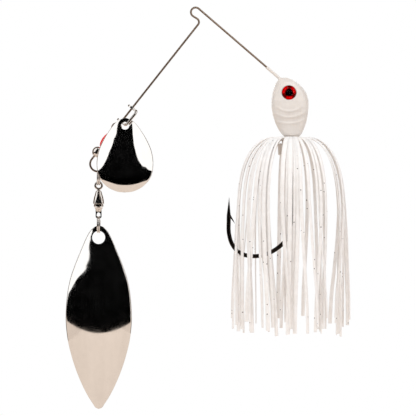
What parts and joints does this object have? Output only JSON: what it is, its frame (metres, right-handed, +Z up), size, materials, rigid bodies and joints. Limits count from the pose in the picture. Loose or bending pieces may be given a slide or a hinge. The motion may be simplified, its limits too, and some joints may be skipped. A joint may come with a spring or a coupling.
{
  "type": "spinnerbait",
  "caption": "Safety-pin spinnerbait: bent wire with a skirted lead-head hook on one arm and two spinning blades, beads and a swivel on the other.",
  "frame": {"origin": "centre of the small bend that the line is tied to, at the top of the wire", "axes": "+Z up along the hanging lure, +X from the blade arm towards the head arm, +Y away from the side that the blades' convex faces show; the wire and hook lie in the plane Y = 0"},
  "size_m": [0.0929, 0.0366, 0.1333],
  "materials": {
    "spring_steel": "drawn stainless spring wire, dull brown-grey",
    "pearl_paint": "glossy pearl white enamel over cast lead",
    "black_nickel": "black nickel plate, glossy",
    "nickel": "bright nickel plate, mirror",
    "red_plastic": "translucent red, glossy",
    "red_foil": "red holographic foil with a black pupil",
    "clear_resin": "clear domed resin",
    "white_rubber": "matt white rubber band",
    "white_silicone": "translucent white silicone with fine black flecks"
  },
  "bodies": {
    "lure": {"wire_form": "spring_steel", "head_casting": "pearl_paint", "hook": "black_nickel", "eye_foil_near": "red_foil", "eye_dome_near": "clear_resin", "eye_foil_far": "red_foil", "eye_dome_far": "clear_resin", "skirt_collar": "white_rubber"},
    "front_clevis": {"front_clevis": "nickel"},
    "front_blade": {"front_blade": "nickel"},
    "spacer_bead": {"spacer_bead": "nickel"},
    "red_bead": {"red_bead": "red_plastic"},
    "metal_bead": {"metal_bead": "nickel"},
    "upper_ring": {"upper_split_ring": "nickel"},
    "swivel_body": {"swivel_top_eye": "nickel", "swivel_barrel": "nickel", "swivel_cap": "nickel", "swivel_bearing": "nickel"},
    "swivel_spindle": {"swivel_spindle": "nickel"},
    "lower_ring": {"lower_split_ring": "nickel"},
    "rear_blade": {"rear_blade": "nickel"},
    "skirt_sector_01": {"skirt_bundle_01": "white_silicone"},
    "skirt_sector_02": {"skirt_bundle_02": "white_silicone"},
    "skirt_sector_03": {"skirt_bundle_03": "white_silicone"},
    "skirt_sector_04": {"skirt_bundle_04": "white_silicone"},
    "skirt_sector_05": {"skirt_bundle_05": "white_silicone"},
    "skirt_sector_06": {"skirt_bundle_06": "white_silicone"},
    "skirt_sector_07": {"skirt_bundle_07": "white_silicone"},
    "skirt_sector_08": {"skirt_bundle_08": "white_silicone"},
    "skirt_sector_09": {"skirt_bundle_09": "white_silicone"},
    "skirt_sector_10": {"skirt_bundle_10": "white_silicone"},
    "skirt_sector_11": {"skirt_bundle_11": "white_silicone"},
    "skirt_sector_12": {"skirt_bundle_12": "white_silicone"}
  },
  "joints": [
    {"name": "clevis_spin", "type": "hinge", "parent": "lure", "child": "front_clevis", "pos_m": [-0.0236, 0, -0.035], "axis": [-0.6198, 0, -0.7848], "continuous": true},
    {"name": "front_blade_flare", "type": "hinge", "parent": "front_clevis", "child": "front_blade", "pos_m": [-0.02315, -0.0054, -0.0378], "axis": [-1, 0, 0], "range_deg": [0, 14]},
    {"name": "spacer_bead_spin", "type": "hinge", "parent": "lure", "child": "spacer_bead", "pos_m": [-0.0236, 0, -0.035], "axis": [-0.6198, 0, -0.7848], "continuous": true},
    {"name": "red_bead_spin", "type": "hinge", "parent": "lure", "child": "red_bead", "pos_m": [-0.0236, 0, -0.035], "axis": [-0.6198, 0, -0.7848], "continuous": true},
    {"name": "metal_bead_spin", "type": "hinge", "parent": "lure", "child": "metal_bead", "pos_m": [-0.0236, 0, -0.035], "axis": [-0.6198, 0, -0.7848], "continuous": true},
    {"name": "upper_ring_swing", "type": "hinge", "parent": "lure", "child": "upper_ring", "pos_m": [-0.0321, 0, -0.05265], "axis": [1, 0, 0], "range_deg": [-60, 60]},
    {"name": "swivel_swing", "type": "hinge", "parent": "upper_ring", "child": "swivel_body", "pos_m": [-0.0321, 0, -0.0571], "axis": [0, 1, 0], "range_deg": [-20, 20]},
    {"name": "swivel_spin", "type": "hinge", "parent": "swivel_body", "child": "swivel_spindle", "pos_m": [-0.0321, 0, -0.064], "axis": [0, 0, 1], "continuous": true},
    {"name": "lower_ring_swing", "type": "hinge", "parent": "swivel_spindle", "child": "lower_ring", "pos_m": [-0.0321, 0, -0.0682], "axis": [1, 0, 0], "range_deg": [-50, 50]},
    {"name": "rear_blade_swing", "type": "hinge", "parent": "lower_ring", "child": "rear_blade", "pos_m": [-0.0321, 0, -0.07285], "axis": [0, 1, 0], "range_deg": [-16, 16]},
    {"name": "skirt_flare_01", "type": "hinge", "parent": "lure", "child": "skirt_sector_01", "pos_m": [0.03503, 0.00094, -0.0422], "axis": [0.2588, -0.9659, 0], "range_deg": [-3, 16], "stiffness_Nm_per_rad": 0.0015, "springref_deg": 1.15},
    {"name": "skirt_flare_02", "type": "hinge", "parent": "lure", "child": "skirt_sector_02", "pos_m": [0.03408, 0.00258, -0.0422], "axis": [0.7071, -0.7071, 0], "range_deg": [-3, 16], "stiffness_Nm_per_rad": 0.0015, "springref_deg": 1.15},
    {"name": "skirt_flare_03", "type": "hinge", "parent": "lure", "child": "skirt_sector_03", "pos_m": [0.03245, 0.00353, -0.0422], "axis": [0.9659, -0.2588, 0], "range_deg": [-3, 16], "stiffness_Nm_per_rad": 0.0015, "springref_deg": 1.15},
    {"name": "skirt_flare_04", "type": "hinge", "parent": "lure", "child": "skirt_sector_04", "pos_m": [0.03055, 0.00353, -0.0422], "axis": [0.9659, 0.2588, 0], "range_deg": [-3, 16], "stiffness_Nm_per_rad": 0.0015, "springref_deg": 1.15},
    {"name": "skirt_flare_05", "type": "hinge", "parent": "lure", "child": "skirt_sector_05", "pos_m": [0.02892, 0.00258, -0.0422], "axis": [0.7071, 0.7071, 0], "range_deg": [-3, 16], "stiffness_Nm_per_rad": 0.0015, "springref_deg": 1.15},
    {"name": "skirt_flare_06", "type": "hinge", "parent": "lure", "child": "skirt_sector_06", "pos_m": [0.02797, 0.00094, -0.0422], "axis": [0.2588, 0.9659, 0], "range_deg": [-3, 16], "stiffness_Nm_per_rad": 0.0015, "springref_deg": 1.15},
    {"name": "skirt_flare_07", "type": "hinge", "parent": "lure", "child": "skirt_sector_07", "pos_m": [0.02797, -0.00094, -0.0422], "axis": [-0.2588, 0.9659, 0], "range_deg": [-3, 16], "stiffness_Nm_per_rad": 0.0015, "springref_deg": 1.15},
    {"name": "skirt_flare_08", "type": "hinge", "parent": "lure", "child": "skirt_sector_08", "pos_m": [0.02892, -0.00258, -0.0422], "axis": [-0.7071, 0.7071, 0], "range_deg": [-3, 16], "stiffness_Nm_per_rad": 0.0015, "springref_deg": 1.15},
    {"name": "skirt_flare_09", "type": "hinge", "parent": "lure", "child": "skirt_sector_09", "pos_m": [0.03055, -0.00353, -0.0422], "axis": [-0.9659, 0.2588, 0], "range_deg": [-3, 16], "stiffness_Nm_per_rad": 0.0015, "springref_deg": 1.15},
    {"name": "skirt_flare_10", "type": "hinge", "parent": "lure", "child": "skirt_sector_10", "pos_m": [0.03245, -0.00353, -0.0422], "axis": [-0.9659, -0.2588, 0], "range_deg": [-3, 16], "stiffness_Nm_per_rad": 0.0015, "springref_deg": 1.15},
    {"name": "skirt_flare_11", "type": "hinge", "parent": "lure", "child": "skirt_sector_11", "pos_m": [0.03408, -0.00258, -0.0422], "axis": [-0.7071, -0.7071, 0], "range_deg": [-3, 16], "stiffness_Nm_per_rad": 0.0015, "springref_deg": 1.15},
    {"name": "skirt_flare_12", "type": "hinge", "parent": "lure", "child": "skirt_sector_12", "pos_m": [0.03503, -0.00094, -0.0422], "axis": [-0.2588, -0.9659, 0], "range_deg": [-3, 16], "stiffness_Nm_per_rad": 0.0015, "springref_deg": 1.15}
  ],
  "couplings": [
    {"joint": "skirt_flare_02", "follows": "skirt_flare_01", "ratio": 1},
    {"joint": "skirt_flare_03", "follows": "skirt_flare_01", "ratio": 1},
    {"joint": "skirt_flare_04", "follows": "skirt_flare_01", "ratio": 1},
    {"joint": "skirt_flare_05", "follows": "skirt_flare_01", "ratio": 1},
    {"joint": "skirt_flare_06", "follows": "skirt_flare_01", "ratio": 1},
    {"joint": "skirt_flare_07", "follows": "skirt_flare_01", "ratio": 1},
    {"joint": "skirt_flare_08", "follows": "skirt_flare_01", "ratio": 1},
    {"joint": "skirt_flare_09", "follows": "skirt_flare_01", "ratio": 1},
    {"joint": "skirt_flare_10", "follows": "skirt_flare_01", "ratio": 1},
    {"joint": "skirt_flare_11", "follows": "skirt_flare_01", "ratio": 1},
    {"joint": "skirt_flare_12", "follows": "skirt_flare_01", "ratio": 1}
  ]
}
